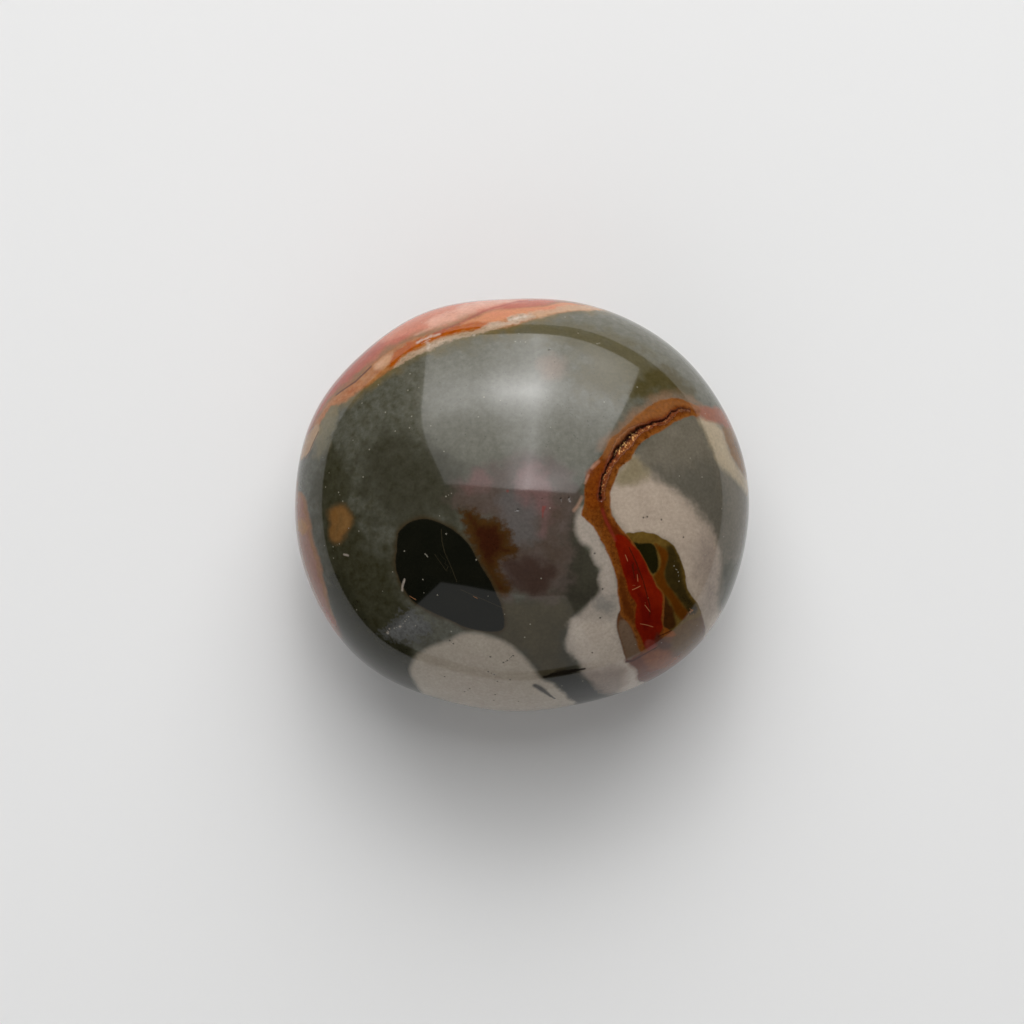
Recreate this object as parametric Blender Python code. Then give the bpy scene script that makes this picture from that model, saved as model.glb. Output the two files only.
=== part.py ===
"""A palm-sized jasper pebble, cut and polished all over: one solid stone, domed above
and below, that rests on a small flat spot. X is its length, Y its width and Z is up."""

import math

import bmesh
import bpy
from mathutils import Vector

# Driving dimensions, in metres
MEAN_RADIUS = 0.02993
CROWN_HEIGHT = 0.01785
BELLY_DEPTH = 0.0165
FOOT_CUT = 0.0006
FOOT_EDGE = 0.0002
CROWN_LEAN = Vector((-0.00025, -0.00063))

# What keeps the outline from being a circle, seen from above: how many lobes go round,
# how far each stands out in metres, and the direction of the first one in degrees
OUTLINE_LOBES = (
    (1, 0.00030, 127),
    (2, 0.00137, -1),
    (3, 0.00017, -24),
    (4, 0.00030, -43),
    (7, 0.00012, 12),
    (9, 0.00005, -6),
    (10, 0.00005, 9),
)

# The polished surface is faceted finely: this many facets along each quarter of the rim
FACETS_PER_QUARTER = 30

STONE_COLOUR = (0.085, 0.072, 0.052, 1.0)
STONE_ROUGHNESS = 0.12


def even_direction(corner):
    """Spreads a point of an octahedron over the sphere, so that equal facets stay equal."""
    reach = abs(corner.x) + abs(corner.y)
    if reach < 1e-6:
        return Vector((0.0, 0.0, math.copysign(1.0, corner.z)))
    turn = math.pi / 4 * (1 + (abs(corner.y) - abs(corner.x)) / reach)
    out = reach * math.sqrt(2 - reach * reach)
    return Vector((
        math.copysign(out * math.cos(turn), corner.x),
        math.copysign(out * math.sin(turn), corner.y),
        math.copysign(1 - reach * reach, corner.z),
    ))


def outline_radius(turn):
    """How far the widest level reaches from the middle of the stone, in this direction."""
    radius = MEAN_RADIUS
    for count, depth, crest in OUTLINE_LOBES:
        radius += depth * math.cos(count * (turn - math.radians(crest)))
    return radius


def height_over_foot(level):
    """Grinds the bottom of the belly flat, with a soft edge where the flat meets the dome."""
    height = level + BELLY_DEPTH - FOOT_CUT
    if height >= FOOT_EDGE:
        return height
    if height <= -FOOT_EDGE:
        return 0.0
    return (height + FOOT_EDGE) ** 2 / (4 * FOOT_EDGE)


def surface_point(direction):
    """Where the polished surface lies, for a direction from the middle of the widest level."""
    turn = math.atan2(direction.y, direction.x)
    reach = outline_radius(turn) * math.hypot(direction.x, direction.y)
    lean = CROWN_LEAN * direction.z * abs(direction.z)
    half_height = CROWN_HEIGHT if direction.z > 0 else BELLY_DEPTH
    return Vector((
        reach * math.cos(turn) + lean.x,
        reach * math.sin(turn) + lean.y,
        height_over_foot(half_height * direction.z),
    ))


def stone_mesh():
    """A finely divided octahedron, with every corner moved to the stone's surface."""
    form = bmesh.new()
    bmesh.ops.create_uvsphere(form, u_segments=4, v_segments=2, radius=1.0)
    bmesh.ops.subdivide_edges(
        form, edges=form.edges, cuts=FACETS_PER_QUARTER - 1, use_grid_fill=True
    )
    for corner in form.verts:
        corner.co = surface_point(even_direction(corner.co))
    xs = [corner.co.x for corner in form.verts]
    ys = [corner.co.y for corner in form.verts]
    middle = Vector(((min(xs) + max(xs)) / 2, (min(ys) + max(ys)) / 2, 0.0))
    bmesh.ops.translate(form, vec=-middle, verts=form.verts)
    bmesh.ops.recalc_face_normals(form, faces=form.faces)
    mesh = bpy.data.meshes.new("jasper_stone")
    form.to_mesh(mesh)
    form.free()
    mesh.shade_smooth()
    return mesh


def polished_jasper():
    material = bpy.data.materials.new("polished_jasper")
    material.use_nodes = True
    shader = material.node_tree.nodes["Principled BSDF"]
    shader.inputs["Base Color"].default_value = STONE_COLOUR
    shader.inputs["Roughness"].default_value = STONE_ROUGHNESS
    shader.inputs["Metallic"].default_value = 0.0
    return material


for old in list(bpy.data.objects):
    bpy.data.objects.remove(old)

pebble = bpy.data.collections.new("jasper_pebble")
bpy.context.scene.collection.children.link(pebble)
stone = bpy.data.objects.new("jasper_stone", stone_mesh())
stone.data.materials.append(polished_jasper())
pebble.objects.link(stone)
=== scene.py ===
import math

import bmesh
import bpy
import numpy as np
from mathutils import Matrix, Quaternion, Vector, noise


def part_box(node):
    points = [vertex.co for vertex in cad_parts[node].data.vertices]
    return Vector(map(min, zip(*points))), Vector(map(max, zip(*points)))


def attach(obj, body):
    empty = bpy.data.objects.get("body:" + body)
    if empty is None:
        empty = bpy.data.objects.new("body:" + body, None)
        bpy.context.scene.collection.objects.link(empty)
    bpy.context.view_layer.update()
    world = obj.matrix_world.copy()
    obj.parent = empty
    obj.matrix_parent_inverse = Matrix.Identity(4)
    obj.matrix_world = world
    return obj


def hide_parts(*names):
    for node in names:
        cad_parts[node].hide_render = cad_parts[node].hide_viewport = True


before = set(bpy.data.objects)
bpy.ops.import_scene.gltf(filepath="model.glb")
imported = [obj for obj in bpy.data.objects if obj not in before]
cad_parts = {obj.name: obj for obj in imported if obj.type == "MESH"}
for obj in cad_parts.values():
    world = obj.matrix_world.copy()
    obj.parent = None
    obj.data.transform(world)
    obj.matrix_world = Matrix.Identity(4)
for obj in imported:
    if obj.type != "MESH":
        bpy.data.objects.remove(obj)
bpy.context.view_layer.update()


# The stone is one cobble of jasper, sawn, ground and polished all over: an oval dome
# above and below, with a small flat foot. The form is the solid's own, divided finely,
# in millimetres until its mesh is placed in the solid's box.
MM = 0.001
MEAN_RADIUS = 29.93
CROWN_HEIGHT = 17.85
BELLY_DEPTH = 16.5
FOOT_CUT = 0.6
FOOT_EDGE = 0.2
CROWN_LEAN = (-0.25, -0.63)
OUTLINE_LOBES = (
    (1, 0.30, 127),
    (2, 1.37, -1),
    (3, 0.17, -24),
    (4, 0.30, -43),
    (7, 0.12, 12),
    (9, 0.05, -6),
    (10, 0.05, 9),
)
FACETS_PER_QUARTER = 128
CROWN = 1
BELLY = -1
NEARBY = 2.0
STRAY = 99.0


def even_direction(corner):
    """Spreads points of an octahedron over the sphere, so that equal facets stay equal."""
    size = np.abs(corner)
    reach = size[:, 0] + size[:, 1]
    turn = math.pi / 4 * (1 + (size[:, 1] - size[:, 0]) / np.maximum(reach, 1e-6))
    out = reach * np.sqrt(2 - reach ** 2)
    return np.stack([
        np.copysign(out * np.cos(turn), corner[:, 0]),
        np.copysign(out * np.sin(turn), corner[:, 1]),
        np.copysign(1 - reach ** 2, corner[:, 2]),
    ], axis=1)


def outline_radius(turn):
    """How far the widest level reaches from the middle of the stone, in this direction."""
    radius = np.full_like(turn, MEAN_RADIUS)
    for count, depth, crest in OUTLINE_LOBES:
        radius += depth * np.cos(count * (turn - math.radians(crest)))
    return radius


def skin_point(direction):
    """Where the polished skin lies, for directions from the middle of the widest level."""
    turn = np.arctan2(direction[:, 1], direction[:, 0])
    reach = outline_radius(turn) * np.hypot(direction[:, 0], direction[:, 1])
    rise = direction[:, 2]
    lean = rise * np.abs(rise)
    level = np.where(rise > 0, CROWN_HEIGHT, BELLY_DEPTH) * rise + BELLY_DEPTH - FOOT_CUT
    eased = (level + FOOT_EDGE) ** 2 / (4 * FOOT_EDGE)
    height = np.where(level >= FOOT_EDGE, level, np.where(level <= -FOOT_EDGE, 0.0, eased))
    return np.stack([
        reach * np.cos(turn) + CROWN_LEAN[0] * lean,
        reach * np.sin(turn) + CROWN_LEAN[1] * lean,
        height,
    ], axis=1)


def peel(direction, pole):
    """Lays the skin out flat round the crown or the belly, about 1 mm to a millimetre."""
    turn = np.arctan2(direction[:, 1], direction[:, 0])
    spread = outline_radius(turn) * np.sqrt(2 * np.maximum(1 - pole * direction[:, 2], 0))
    return np.stack([spread * np.cos(turn), spread * np.sin(turn)], axis=1)


def unpeel(spots, pole):
    """The directions of spots on the flat peel."""
    turn = np.arctan2(spots[:, 1], spots[:, 0])
    fall = (np.hypot(spots[:, 0], spots[:, 1]) / outline_radius(turn)) ** 2 / 2
    out = np.sqrt(np.maximum(fall * (2 - fall), 0))
    return np.stack([out * np.cos(turn), out * np.sin(turn), pole * (1 - fall)], axis=1)


def smooth_line(spots, closed=True, steps=6):
    """A smooth curve through given spots of the peel."""
    spots = np.array(spots, dtype=float)
    if closed:
        before, after, last = np.roll(spots, 1, 0), np.roll(spots, -1, 0), np.roll(spots, -2, 0)
        start = spots
    else:
        ends = np.vstack([spots[:1], spots, spots[-1:]])
        before, start, after, last = ends[:-3], ends[1:-2], ends[2:-1], ends[3:]
    share = (np.arange(steps) / steps)[None, :, None]
    before, start, after, last = (row[:, None, :] for row in (before, start, after, last))
    curve = 0.5 * (
        2 * start
        + (after - before) * share
        + (2 * before - 5 * start + 4 * after - last) * share ** 2
        + (3 * start - before - 3 * after + last) * share ** 3
    )
    curve = curve.reshape(-1, 2)
    return curve if closed else np.vstack([curve, spots[-1:]])


def nearest_on(line, spots, reach):
    """How far off a line spots within its reach lie, on which side, past its ends and along it."""
    away = np.full(len(spots), STRAY)
    side = np.full(len(spots), STRAY)
    past = np.zeros(len(spots))
    along = np.zeros(len(spots))
    run = 0.0
    low, high = line.min(0) - reach, line.max(0) + reach
    close = np.flatnonzero(((spots > low) & (spots < high)).all(axis=1))
    for start, end in zip(line[:-1], line[1:]):
        step = end - start
        length = math.hypot(*step)
        offset = spots[close] - start
        share = np.clip(offset @ step / length ** 2, 0, 1)
        gap = offset - share[:, None] * step
        distance = np.hypot(gap[:, 0], gap[:, 1])
        better = distance < away[close]
        picked = close[better]
        away[picked] = distance[better]
        across = (step[0] * offset[:, 1] - step[1] * offset[:, 0]) / length
        beyond = np.sqrt(np.maximum(distance ** 2 - across ** 2, 0))
        side[picked] = across[better]
        past[picked] = beyond[better]
        along[picked] = (run + share * length)[better]
        run += length
    return away, side, past, along


# The open crack runs along the orange vein, with a crust of tiny crystals on its lower
# side, and pinholes are left where soft grains fell out of the cream. Both are cut into
# the skin, so the mesh is divided more finely along them. Sizes are in millimetres.
CRACK = (
    (25.9, 14.2), (24.4, 14.1), (23.1, 13.6), (22.0, 12.8), (20.8, 11.8), (19.4, 11.4),
    (18.1, 10.8), (16.8, 10.3), (15.8, 9.5), (14.7, 8.4), (13.7, 7.3), (13.1, 6.7), (12.6, 5.8),
    (12.0, 5.0), (11.6, 4.0), (11.2, 3.0), (10.9, 2.0), (10.7, 1.1), (10.8, 0.0),
)
PINHOLES = (
    (-10.6, -20.6), (-10.1, -21.1), (-4.7, -23.2), (-2.8, -24.2), (-1.3, -22.9), (-2.2, -23.8),
    (-5.2, -26.1), (-4.3, -26.7), (-1.9, -27.7), (-3.9, -28.2), (-9.6, -31.4), (-8.6, -30.4),
    (-4.5, -31.6), (-4.9, -33.5), (-12.4, -27.9), (-0.7, -33.6), (11.2, -16.9), (11.3, -12.5),
    (10.0, -7.4), (10.5, -22.8), (23.6, -5.4), (17.0, -2.5), (17.6, -2.4), (19.8, -2.8),
    (-0.4, -1.4), (5.3, 0.1), (6.4, 0.2), (4.0, 22.2),
)
PINHOLE_RADIUS = 0.16
PINHOLE_DEPTH = 0.09
CRACK_REACH = 1.6
GROOVE_WIDTH = 0.16
GROOVE_DEPTH = 0.34
SHELF_OFFSET = 0.45
CRUST_WIDTH = 0.48
CRUST_DEPTH = 0.16
CRYSTALS_PER_MM = 4.6
DULL_CRYSTALS = 0.66
FLUSH_WIDTH = 0.55
WIDEST_SPOT = (14.6, 8.3)
WIDEST_AREA = 7
TAPER_LENGTH = 5.0
THIN_END = 0.25
END_ROUNDING = 0.3
WANDERS = ((0.22, 1.1), (0.16, 3.4))
FINE_BANDS = ((1.5, 0.6), (1.2, 0.35))

crack_line = smooth_line(CRACK, closed=False)
form = bmesh.new()
bmesh.ops.create_uvsphere(form, u_segments=4, v_segments=2, radius=1.0)
bmesh.ops.subdivide_edges(
    form, edges=form.edges, cuts=FACETS_PER_QUARTER - 1, use_grid_fill=True
)
for crack_band, pinhole_band in FINE_BANDS:
    form.verts.index_update()
    corners = np.array([corner.co[:] for corner in form.verts])
    spots = peel(even_direction(corners), CROWN)
    fine = nearest_on(crack_line, spots, NEARBY)[0] < crack_band
    for hole in PINHOLES:
        fine |= np.hypot(*(spots - hole).T) < pinhole_band
    edges = [edge for edge in form.edges if all(fine[end.index] for end in edge.verts)]
    bmesh.ops.subdivide_edges(form, edges=edges, cuts=1, use_grid_fill=True)
    many_sided = [face for face in form.faces if len(face.verts) > 3]
    bmesh.ops.triangulate(form, faces=many_sided)
bmesh.ops.recalc_face_normals(form, faces=form.faces)
skin = bpy.data.meshes.new("polished_jasper")
form.to_mesh(skin)
form.free()

corner_count = len(skin.vertices)
corners = np.empty(corner_count * 3)
skin.vertices.foreach_get("co", corners)
corners = corners.reshape(-1, 3)
direction = even_direction(corners)
crown_spots = peel(direction, CROWN)
belly_spots = peel(direction, BELLY)
smooth_skin = skin_point(direction)

# The skin is laid out flat for the baked model, with the belly folded out round the crown.
LEAF_SHARE = 0.498
loop_corner = np.empty(len(skin.loops), dtype=np.int32)
skin.loops.foreach_get("vertex_index", loop_corner)
leaf = corners[loop_corner].reshape(-1, 3, 3)
middle = leaf.mean(axis=1, keepdims=True)
folded = np.sign(middle[:, :, :2]) * (1 - np.abs(leaf[:, :, 1::-1]))
flat = np.where(middle[:, :, 2:] > 0, leaf[:, :, :2], folded)
layout = skin.uv_layers.new(name="OFBake")
layout.data.foreach_set("uv", (flat * LEAF_SHARE + 0.5).ravel())

low_corner, high_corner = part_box("jasper_stone")
low_corner, high_corner = np.array(low_corner), np.array(high_corner)
low_skin, high_skin = smooth_skin.min(0), smooth_skin.max(0)
fit = (high_corner - low_corner) / (high_skin - low_skin)
stone_origin = low_corner + (np.array([0, 0, BELLY_DEPTH - FOOT_CUT]) - low_skin) * fit


def place_skin(points):
    """Moves the corners of the skin, from millimetres of the form to the stone's box."""
    skin.vertices.foreach_set("co", (low_corner + (points - low_skin) * fit).ravel())
    skin.update()


place_skin(smooth_skin)
outward = np.empty(corner_count * 3)
skin.vertex_normals.foreach_get("vector", outward)
outward = outward.reshape(-1, 3)

away, side, past, along = nearest_on(crack_line, crown_spots, NEARBY)
ease = np.clip(along / TAPER_LENGTH, THIN_END, 1) * np.clip(1 - past / END_ROUNDING, 0, 1)
depth = np.zeros(corner_count)
near_crack = np.flatnonzero((away < CRACK_REACH) & (direction[:, 2] > 0))
crust = np.zeros(corner_count)
groove_shade = np.zeros(corner_count)
crumbled = np.zeros(corner_count)
glint_highlight = np.zeros(corner_count)
flush = np.zeros(corner_count)

# The groove wanders and gapes at its widest spot, and crystals stand on the shelf beside it.
for index in near_crack:
    spot = Vector((*crown_spots[index], 0.0))
    wander = sum(reach * noise.noise(spot * pace) for reach, pace in WANDERS)
    offset = side[index] + wander
    gape = math.exp(-(spot - Vector((*WIDEST_SPOT, 0.0))).length_squared / WIDEST_AREA)
    groove = math.exp(-(offset / (GROOVE_WIDTH * (0.55 + 1.5 * gape))) ** 2)
    shelf = math.exp(-((offset - SHELF_OFFSET * (0.6 + 0.7 * gape)) / (0.5 * CRUST_WIDTH)) ** 2)
    shelf *= min(max(0.25 + 0.6 * gape + 0.9 * noise.noise(spot * 1.1), 0), 1)
    crystal, places = noise.voronoi(spot * CRYSTALS_PER_MM)
    facet = crystal[1] - crystal[0]
    glint = math.modf(abs(7.31 * places[0].x + 3.17 * places[0].y))[0]
    pitted = CRUST_DEPTH * shelf * (1 - min(facet * 1.6, 1))
    depth[index] = ease[index] * (GROOVE_DEPTH * groove + pitted)
    crust[index] = ease[index] * shelf * min(facet * 1.8, 1)
    # The groove is painted dark with the shade that lies in it.
    groove_shade[index] = ease[index] * groove ** 0.45
    crumbled[index] = min(3 * ease[index] * max(groove ** 0.15, shelf ** 0.5), 1)
    # The brightest facets of the crystals get painted glints, a painted highlight.
    bright = (glint > DULL_CRYSTALS) * min(facet * 2.6, 1)
    glint_highlight[index] = ease[index] * max(shelf, 0.8 * groove * gape) * bright
    flush[index] = ease[index] * math.exp(-(offset / FLUSH_WIDTH) ** 2)

for hole in PINHOLES:
    near_hole = np.hypot(*(crown_spots - hole).T)
    bowl = PINHOLE_DEPTH * np.clip(1 - (near_hole / PINHOLE_RADIUS) ** 2, 0, 1)
    depth = np.maximum(depth, np.where(direction[:, 2] > -0.5, bowl, 0))
place_skin(smooth_skin - outward * depth[:, None])
skin.shade_smooth()

stone = bpy.data.objects.new("polished_jasper", skin)
bpy.context.scene.collection.objects.link(stone)
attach(stone, "root")
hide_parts("jasper_stone")


# The colours lie in the stone itself, so each zone is a marking on the skin. A marking's
# edge is a smooth line through a few spots of the flat peel, in millimetres from the
# crown or the belly, and the skin keeps how deep inside that line each corner lies.
DEEPEST = 12
BLOCK = 16384


def keep_number(name, values):
    """Keeps one number for each corner of the skin."""
    layer = skin.attributes.new(name, "FLOAT", "POINT")
    layer.data.foreach_set("value", values.astype(np.float32))


def keep_vector(name, values):
    """Keeps three numbers for each corner of the skin."""
    layer = skin.attributes.new(name, "FLOAT_VECTOR", "POINT")
    layer.data.foreach_set("vector", values.astype(np.float32).ravel())


def depth_inside(outline, pole):
    """How deep inside the outline each corner of the skin lies, less than zero outside it."""
    line = smooth_line(outline)
    rail = skin_point(unpeel(line, pole)).astype(np.float32)
    points = smooth_skin.astype(np.float32)
    nearest = np.empty(corner_count, dtype=np.int64)
    for first in range(0, corner_count, BLOCK):
        block = points[first:first + BLOCK]
        nearest[first:first + BLOCK] = ((rail ** 2).sum(1) - 2 * block @ rail.T).argmin(1)
    distance = np.full(corner_count, STRAY)
    for neighbour in (-1, 0):
        start = rail[(nearest + neighbour) % len(rail)]
        step = rail[(nearest + neighbour + 1) % len(rail)] - start
        offset = points - start
        share = (offset * step).sum(1) / np.maximum((step ** 2).sum(1), 1e-9)
        gap = offset - np.clip(share, 0, 1)[:, None] * step
        distance = np.minimum(distance, np.sqrt((gap ** 2).sum(1)))
    spots = crown_spots if pole == CROWN else belly_spots
    inside = np.zeros(corner_count, dtype=bool)
    for (x1, y1), (x2, y2) in zip(line, np.roll(line, -1, 0)):
        if y1 == y2:
            continue
        rows = np.flatnonzero((spots[:, 1] > min(y1, y2)) & (spots[:, 1] <= max(y1, y2)))
        crossing = x1 + (spots[rows, 1] - y1) * (x2 - x1) / (y2 - y1)
        inside[rows] ^= spots[rows, 0] < crossing
    return np.where(inside, distance, -distance)


def tone(red, green, blue):
    """A colour as a painter would mix it, on a scale of 255, turned to linear light."""
    shares = (np.array([red, green, blue]) / 255).clip(0, 1)
    linear = np.where(shares <= 0.04045, shares / 12.92, ((shares + 0.055) / 1.055) ** 2.4)
    return (*linear, 1.0)


jasper = bpy.data.materials.new("polished_jasper")
jasper.use_nodes = True
nodes = jasper.node_tree.nodes
links = jasper.node_tree.links
polish = nodes["Principled BSDF"]
polish.inputs["IOR"].default_value = 1.5
stone.data.materials.append(jasper)

coordinates = nodes.new("ShaderNodeTexCoord")
in_mm = nodes.new("ShaderNodeVectorMath")
in_mm.operation = "SCALE"
in_mm.inputs["Scale"].default_value = 1 / MM
links.new(coordinates.outputs["Object"], in_mm.inputs[0])


def cloud(size, detail, roughness=0.55, low=0.35, high=0.65, stretch=(1, 1, 1)):
    """Soft clouds of the given size in millimetres, from 0 to 1."""
    mapping = nodes.new("ShaderNodeMapping")
    mapping.vector_type = "TEXTURE"
    mapping.inputs["Scale"].default_value = [size * way for way in stretch]
    links.new(in_mm.outputs[0], mapping.inputs["Vector"])
    texture = nodes.new("ShaderNodeTexNoise")
    texture.inputs["Scale"].default_value = 1.0
    texture.inputs["Detail"].default_value = detail
    texture.inputs["Roughness"].default_value = roughness
    links.new(mapping.outputs[0], texture.inputs["Vector"])
    spread = nodes.new("ShaderNodeMapRange")
    spread.inputs["From Min"].default_value = low
    spread.inputs["From Max"].default_value = high
    links.new(texture.outputs["Fac"], spread.inputs["Value"])
    return spread.outputs[0]


def marking_group():
    """A zone of colour laid over what lies under it, with a ragged or a soft edge."""
    group = bpy.data.node_groups.new("marking", "ShaderNodeTree")
    face = group.interface
    face.new_socket("Under", in_out="INPUT", socket_type="NodeSocketColor")
    for name in ("Depth", "Inset", "Ripple", "Ragged", "Soft", "Mottle", "Strength"):
        face.new_socket(name, in_out="INPUT", socket_type="NodeSocketFloat")
    for name in ("First Tone", "Second Tone"):
        face.new_socket(name, in_out="INPUT", socket_type="NodeSocketColor")
    face.new_socket("Colour", in_out="OUTPUT", socket_type="NodeSocketColor")
    inner = group.nodes
    wire = group.links.new
    given = inner.new("NodeGroupInput").outputs
    result = inner.new("NodeGroupOutput").inputs
    sway = inner.new("ShaderNodeMapRange")
    sway.inputs["To Min"].default_value = -1.0
    wire(given["Ripple"], sway.inputs["Value"])
    wavy = inner.new("ShaderNodeMath")
    wavy.operation = "MULTIPLY_ADD"
    wire(sway.outputs[0], wavy.inputs[0])
    wire(given["Ragged"], wavy.inputs[1])
    wire(given["Depth"], wavy.inputs[2])
    moved = inner.new("ShaderNodeMath")
    moved.operation = "SUBTRACT"
    wire(wavy.outputs[0], moved.inputs[0])
    wire(given["Inset"], moved.inputs[1])
    outer = inner.new("ShaderNodeMath")
    outer.operation = "MULTIPLY"
    outer.inputs[1].default_value = -0.5
    wire(given["Soft"], outer.inputs[0])
    deeper = inner.new("ShaderNodeMath")
    deeper.operation = "MULTIPLY"
    deeper.inputs[1].default_value = 0.5
    wire(given["Soft"], deeper.inputs[0])
    edge = inner.new("ShaderNodeMapRange")
    edge.interpolation_type = "SMOOTHSTEP"
    wire(moved.outputs[0], edge.inputs["Value"])
    wire(outer.outputs[0], edge.inputs["From Min"])
    wire(deeper.outputs[0], edge.inputs["From Max"])
    mask = inner.new("ShaderNodeMath")
    mask.operation = "MULTIPLY"
    wire(edge.outputs[0], mask.inputs[0])
    wire(given["Strength"], mask.inputs[1])
    first = inner.new("ShaderNodeMix")
    first.data_type = "RGBA"
    wire(mask.outputs[0], first.inputs["Factor"])
    wire(given["Under"], first.inputs["A"])
    wire(given["First Tone"], first.inputs["B"])
    share = inner.new("ShaderNodeMath")
    share.operation = "MULTIPLY"
    wire(mask.outputs[0], share.inputs[0])
    wire(given["Mottle"], share.inputs[1])
    second = inner.new("ShaderNodeMix")
    second.data_type = "RGBA"
    wire(share.outputs[0], second.inputs["Factor"])
    wire(first.outputs["Result"], second.inputs["A"])
    wire(given["Second Tone"], second.inputs["B"])
    wire(second.outputs["Result"], result["Colour"])
    return group


marking = marking_group()
ripple = cloud(2.2, 2)
crumbs = cloud(0.8, 3, roughness=0.6)
grain = cloud(0.42, 2, roughness=0.6, low=0.25, high=0.75)
patches = cloud(1.0, 4, roughness=0.6, low=0.30, high=0.70)
drifts = cloud(3.0, 4, low=0.32, high=0.68)
coats = []


def zone(name, outline, pole=CROWN):
    """Keeps how deep each corner lies inside a zone."""
    keep_number(name, np.clip(depth_inside(outline, pole), -DEEPEST, DEEPEST))


def paint(name, first, second, mottle, soft=0.3, ragged=0.1, inset=0.0, strength=1.0, torn=None):
    """Lays a zone's two tones over the coats painted before it."""
    depths = nodes.new("ShaderNodeAttribute")
    depths.attribute_name = name
    coat = nodes.new("ShaderNodeGroup")
    coat.node_tree = marking
    coat.label = name
    links.new(coats[-1], coat.inputs["Under"])
    links.new(depths.outputs["Fac"], coat.inputs["Depth"])
    links.new(torn or ripple, coat.inputs["Ripple"])
    links.new(mottle, coat.inputs["Mottle"])
    coat.inputs["Inset"].default_value = inset
    coat.inputs["Ragged"].default_value = ragged
    coat.inputs["Soft"].default_value = soft
    coat.inputs["Strength"].default_value = strength
    coat.inputs["First Tone"].default_value = tone(*first)
    coat.inputs["Second Tone"].default_value = tone(*second)
    coats.append(coat.outputs["Colour"])


UNTOUCHED = 9.0
STROKE_REACH = 1.4
FADE_START = 0.5
FADE_RATE = 12


def keep_strokes(name, strokes):
    """Keeps thin lines and dots: how far across and past the nearest one, in half widths."""
    nearest = np.full((corner_count, 3), UNTOUCHED)
    closest = np.full(corner_count, STRAY)
    for half_width, *spots in strokes:
        if len(spots) == 1:
            offset = crown_spots - spots[0]
            away, side, past = np.hypot(*offset.T), offset[:, 0], offset[:, 1]
        else:
            away, side, past, _ = nearest_on(np.array(spots, dtype=float), crown_spots, NEARBY)
        better = (away - half_width < closest) & (away < STROKE_REACH) & (direction[:, 2] > -0.6)
        closest[better] = (away - half_width)[better]
        fade = np.maximum(away - half_width - FADE_START, 0) * FADE_RATE
        nearest[better] = np.stack([side / half_width, past / half_width, fade], 1)[better]
    keep_vector(name, nearest)


def draw(name, strokes, colour, strength=1.0, blur=0.5):
    """Draws thin lines and dots over the coats painted before them."""
    keep_strokes(name, strokes)
    reach = nodes.new("ShaderNodeAttribute")
    reach.attribute_name = name
    length = nodes.new("ShaderNodeVectorMath")
    length.operation = "LENGTH"
    links.new(reach.outputs["Vector"], length.inputs[0])
    edge = nodes.new("ShaderNodeMapRange")
    edge.inputs["From Min"].default_value = 1 + blur
    edge.inputs["From Max"].default_value = 1 - blur
    edge.inputs["To Max"].default_value = strength
    links.new(length.outputs["Value"], edge.inputs["Value"])
    laid = nodes.new("ShaderNodeMix")
    laid.data_type = "RGBA"
    laid.inputs["B"].default_value = tone(*colour)
    links.new(edge.outputs[0], laid.inputs["Factor"])
    links.new(coats[-1], laid.inputs["A"])
    coats.append(laid.outputs["Result"])


# The ground of the stone is a dark moss green, mottled all through with grey-green
# grains. It is paler and greyer over the top of the crown, and nearly black at the foot
# of the left side.
ground = nodes.new("ShaderNodeMix")
ground.data_type = "RGBA"
ground.inputs["A"].default_value = tone(66, 64, 50)
ground.inputs["B"].default_value = tone(88, 88, 78)
links.new(patches, ground.inputs["Factor"])
coats.append(ground.outputs["Result"])

zone("belly_umber", (
    (-44, 0), (-34, -4), (-24, -10), (-18, -20), (-20, -32), (-28, -34), (-38, -22), (-43, -10),
), BELLY)
paint("belly_umber", (60, 52, 34), (82, 72, 50), drifts, soft=3.0, ragged=0.8)
zone("belly_salmon", (
    (-42, 16), (-34, 30), (-20, 38), (-4, 42), (12, 42), (20, 38), (18, 28), (10, 22), (0, 21),
    (-8, 17), (-18, 16), (-28, 11), (-38, 10),
), BELLY)
paint("belly_salmon", (118, 84, 70), (134, 104, 88), drifts, soft=0.5, ragged=0.15)
paint(
    "belly_salmon", (138, 112, 98), (112, 84, 72), patches,
    soft=5.0, ragged=1.4, inset=3.0, strength=0.8,
)
zone("belly_cream", (
    (-17, -42), (-6, -45), (8, -44), (16, -38), (13, -30), (15, -22), (10, -15), (2, -11),
    (-7, -13), (-13, -20), (-14, -30), (-20, -36),
), BELLY)
paint("belly_cream", (164, 152, 136), (150, 138, 122), drifts, soft=0.9, ragged=0.1)
paint(
    "belly_cream", (146, 122, 108), (168, 152, 136), patches,
    soft=4.0, ragged=1.0, inset=4.0, strength=0.7,
)
zone("belly_slate", (
    (26, -36), (20, -28), (22, -18), (30, -14), (40, -14), (38, -26), (32, -36),
), BELLY)
paint("belly_slate", (88, 84, 72), (102, 96, 82), drifts, soft=1.6, ragged=0.3)
zone("belly_pool", (
    (7, -1), (12, 3.4), (18, 4), (23, 1), (25, -4), (22, -9), (16, -11), (10, -8.4), (7, -5),
), BELLY)
paint("belly_pool", (58, 44, 26), (70, 52, 30), drifts, soft=1.0, inset=-0.5)
paint("belly_pool", (18, 20, 14), (28, 30, 22), drifts, soft=0.3, ragged=0.05)
zone("belly_vein", (
    (46, 12), (38, 12.6), (30, 9), (22, 8.4), (14, 12), (6, 13), (-1, 9.4), (-8, 8), (-16, 10.6),
    (-25, 6.6), (-34, 8.4), (-46, 6), (-46, 3), (-34, 5), (-25, 3.4), (-17, 6.8), (-9, 4.4),
    (0, 5), (6, 8.8), (12, 8.6), (20, 5), (29, 5.4), (38, 9), (46, 8),
), BELLY)
paint("belly_vein", (104, 54, 18), (130, 80, 36), crumbs, soft=0.4, ragged=0.15)
paint("belly_vein", (98, 22, 8), (84, 16, 6), drifts, soft=0.5, ragged=0.2, inset=0.9)
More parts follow.
